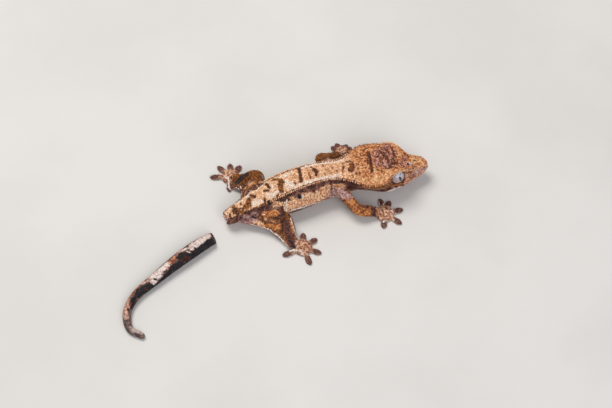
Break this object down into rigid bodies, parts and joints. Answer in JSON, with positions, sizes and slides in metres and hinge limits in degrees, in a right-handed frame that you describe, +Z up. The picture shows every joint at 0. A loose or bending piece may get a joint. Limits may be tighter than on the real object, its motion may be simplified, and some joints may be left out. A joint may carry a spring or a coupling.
{
  "type": "crested gecko",
  "caption": "Crested gecko standing with spread legs and webbed toes, two rows of crest spines from brow to hip, a short tail stump, and its dropped tail curled on the floor behind it.",
  "frame": {"origin": "on the floor, under the middle of the box that holds the body and the dropped tail", "axes": "+X the way the head points, along the box's longest side; +Y towards the animal's left; +Z up"},
  "size_m": [0.0968, 0.0738, 0.0124],
  "materials": {
    "head_skin": "dry granular skin",
    "back_skin": "dry granular skin",
    "limb_skin": "dry granular skin",
    "tail_skin": "dry granular skin",
    "eye": "wet gloss"
  },
  "bodies": {
    "root": {"head": "head_skin", "eye_left": "eye", "eye_right": "eye", "neck": "back_skin", "torso": "back_skin", "tail_stump": "back_skin", "upper_arm_left": "limb_skin", "forearm_left": "limb_skin", "hand_left": "limb_skin", "upper_arm_right": "limb_skin", "forearm_right": "limb_skin", "hand_right": "limb_skin", "thigh_left": "limb_skin", "shin_left": "limb_skin", "foot_left": "limb_skin", "thigh_right": "limb_skin", "shin_right": "limb_skin", "foot_right": "limb_skin", "dropped_tail_base": "tail_skin", "dropped_tail_middle": "tail_skin", "dropped_tail_tip": "tail_skin"}
  },
  "joints": []
}
